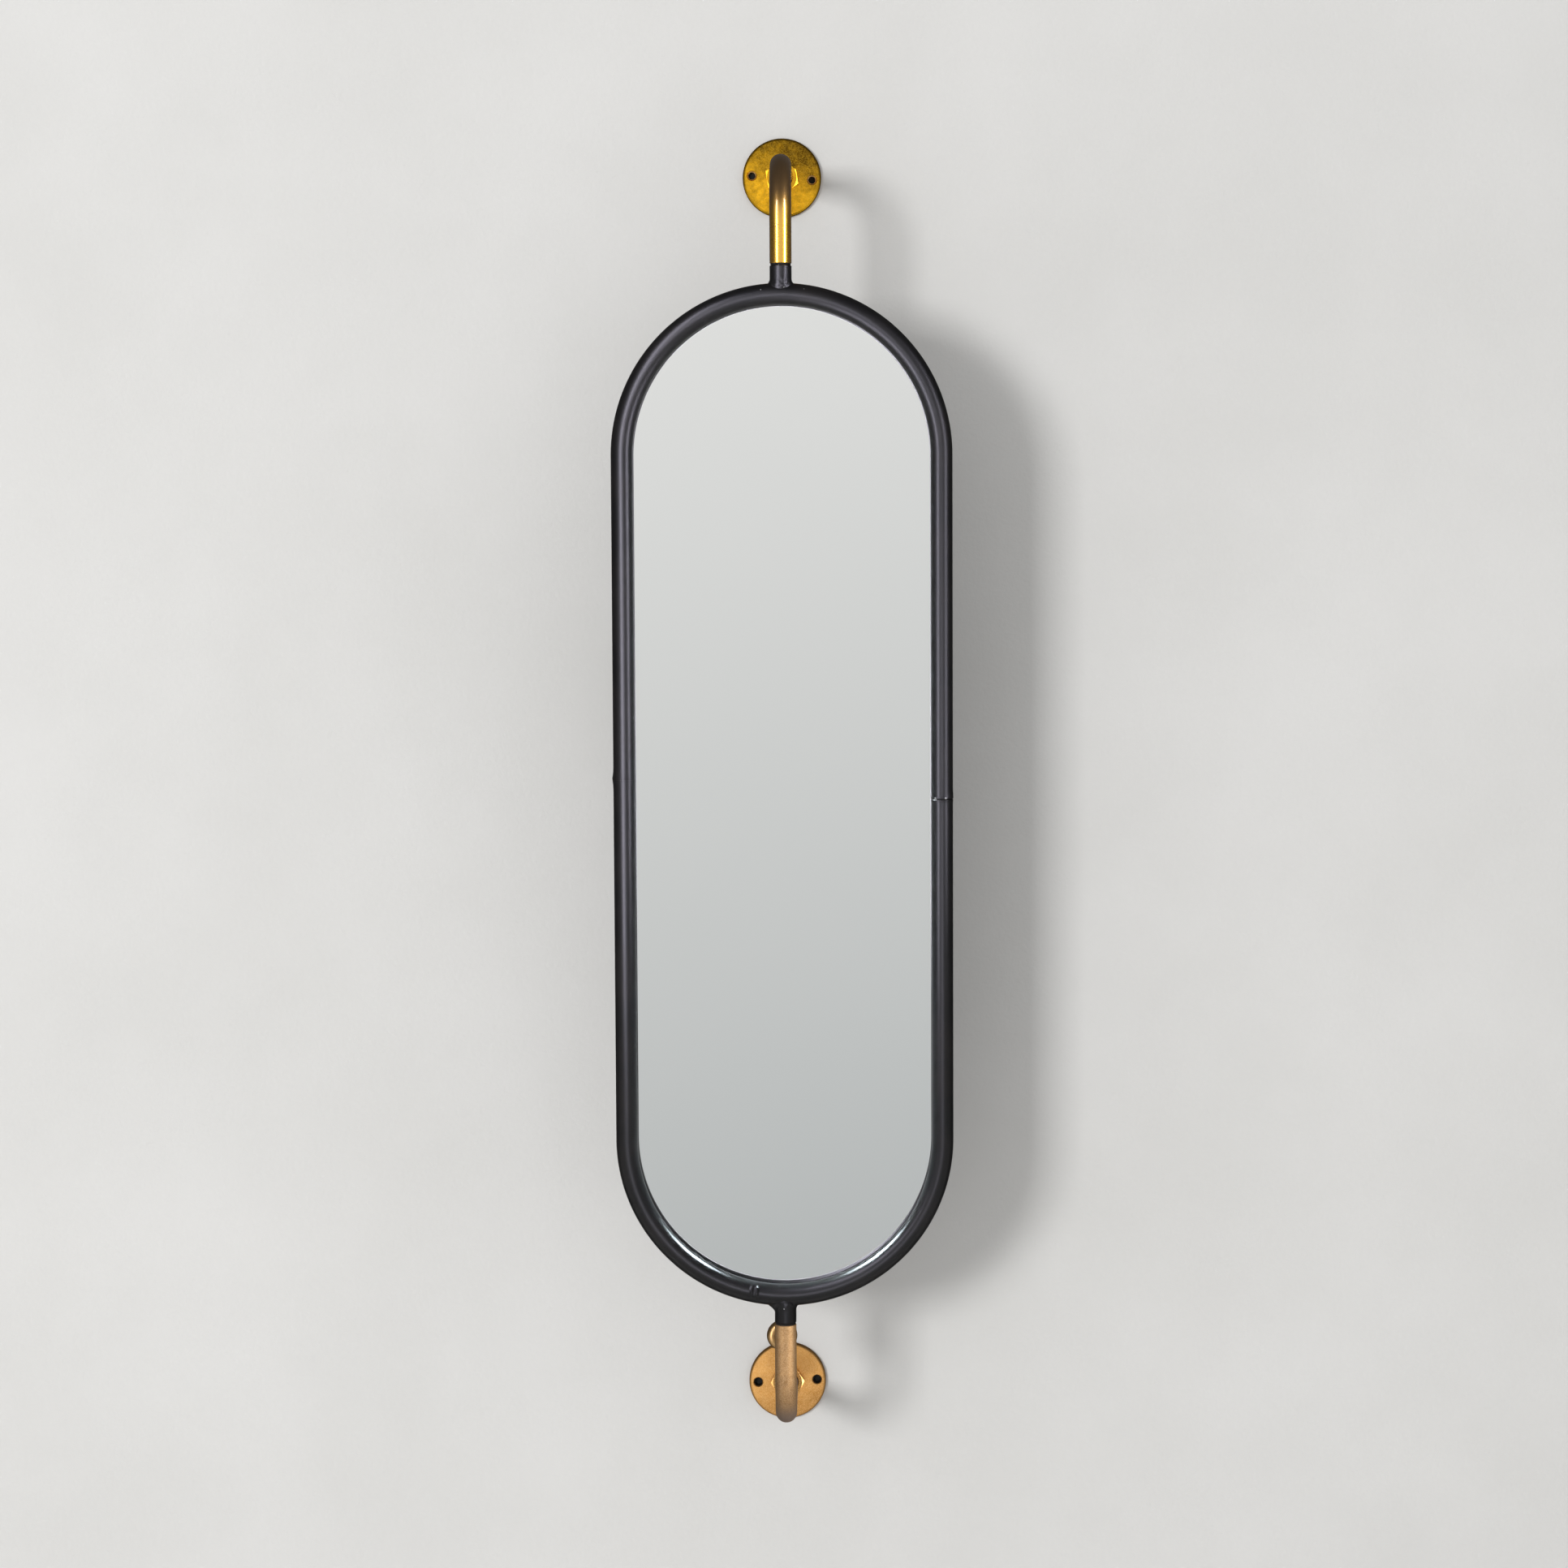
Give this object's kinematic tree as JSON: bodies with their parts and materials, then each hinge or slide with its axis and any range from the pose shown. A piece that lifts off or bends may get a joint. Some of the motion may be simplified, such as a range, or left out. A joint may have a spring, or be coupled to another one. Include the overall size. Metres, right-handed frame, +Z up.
{
  "type": "pivot wall mirror",
  "caption": "Tall round-ended mirror in a slim tube frame that turns about an upright axis between two bent wall arms on round plates.",
  "frame": {"origin": "on the wall plane, midway between the centres of the two wall plates", "axes": "+Z up along the wall, +Y into the wall, +X to the right seen from the room; the mirror hangs in front, towards -Y"},
  "size_m": [0.25, 0.1446, 0.9929],
  "materials": {
    "polished_brass": "polished brass with faint mottling",
    "aged_brass": "satin brass, darkened by age, fine grain",
    "black_paint": "satin black paint on steel tube",
    "black_sheet": "matt black powder coat on steel sheet",
    "silvered_glass": "silvered float glass",
    "bare_steel": "bare turned steel",
    "black_nylon": "black nylon",
    "grey_foam": "closed-cell foam tape"
  },
  "bodies": {
    "wall_fixings": {"upper_wall_plate": "polished_brass", "upper_front_nut": "polished_brass", "upper_back_nut": "polished_brass", "upper_arm": "polished_brass", "upper_collar_bush": "black_nylon", "upper_inner_bush": "black_nylon", "lower_wall_plate": "aged_brass", "lower_front_nut": "aged_brass", "lower_back_nut": "aged_brass", "lower_arm": "aged_brass", "lower_collar_bush": "black_nylon", "lower_inner_bush": "black_nylon", "lock_boss": "aged_brass"},
    "mirror": {"frame_upper_bend": "black_paint", "frame_lower_bend": "black_paint", "upper_stub": "black_paint", "lower_stub": "black_paint", "upper_pivot_pin": "bare_steel", "lower_pivot_pin": "bare_steel", "left_joint_sleeve": "bare_steel", "right_joint_sleeve": "bare_steel", "left_foam_strip": "grey_foam", "right_foam_strip": "grey_foam", "mirror_glass": "silvered_glass", "back_tray": "black_sheet", "back_screw_01": "bare_steel", "back_screw_02": "bare_steel", "back_screw_03": "bare_steel", "back_screw_04": "bare_steel", "back_screw_05": "bare_steel", "back_screw_06": "bare_steel", "back_screw_07": "bare_steel", "back_screw_08": "bare_steel", "back_screw_09": "bare_steel", "back_screw_10": "bare_steel", "back_screw_11": "bare_steel", "back_screw_12": "bare_steel"},
    "lock_tip": {"lock_pad": "black_nylon"},
    "lock_handle": {"lock_screw": "bare_steel", "lock_knob": "polished_brass"}
  },
  "joints": [
    {"name": "mirror_pivot", "type": "hinge", "parent": "wall_fixings", "child": "mirror", "pos_m": [0, -0.135, 0], "axis": [0, 0, 1], "continuous": true},
    {"name": "lock_travel", "type": "slide", "parent": "wall_fixings", "child": "lock_tip", "axis": [-0.1392, 0.9903, 0], "range_m": [0, 0.002]},
    {"name": "lock_knob_turn", "type": "hinge", "parent": "lock_tip", "child": "lock_handle", "pos_m": [0, -0.135, -0.4049], "axis": [-0.1392, 0.9903, 0], "range_deg": [0, 720]}
  ],
  "couplings": [
    {"joint": "lock_knob_turn", "follows": "lock_travel", "rad_per_m": 6283.2}
  ]
}
